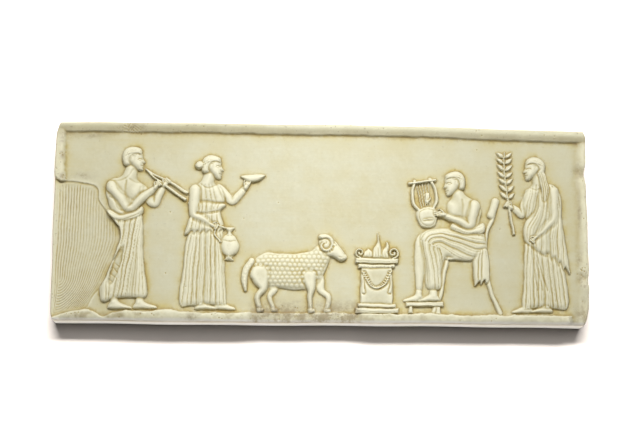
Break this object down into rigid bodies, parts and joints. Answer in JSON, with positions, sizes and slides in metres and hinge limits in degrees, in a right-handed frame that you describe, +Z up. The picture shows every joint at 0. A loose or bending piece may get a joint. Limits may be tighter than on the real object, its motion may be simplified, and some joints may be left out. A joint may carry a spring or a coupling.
{
  "type": "relief plaque",
  "caption": "Flat rectangular cast-stone wall plaque with a low relief frieze of figures between worn borders, and a plain flat back.",
  "frame": {"origin": "middle of the flat back, where the plaque meets the wall", "axes": "+X along the length, to the right as the carved front is seen; +Y into the wall; +Z up"},
  "size_m": [0.2516, 0.0157, 0.0947],
  "materials": {
    "cast_stone": "matte, cream with a brown-ochre wash in the hollows"
  },
  "bodies": {
    "root": {"plaque": "cast_stone"}
  },
  "joints": []
}
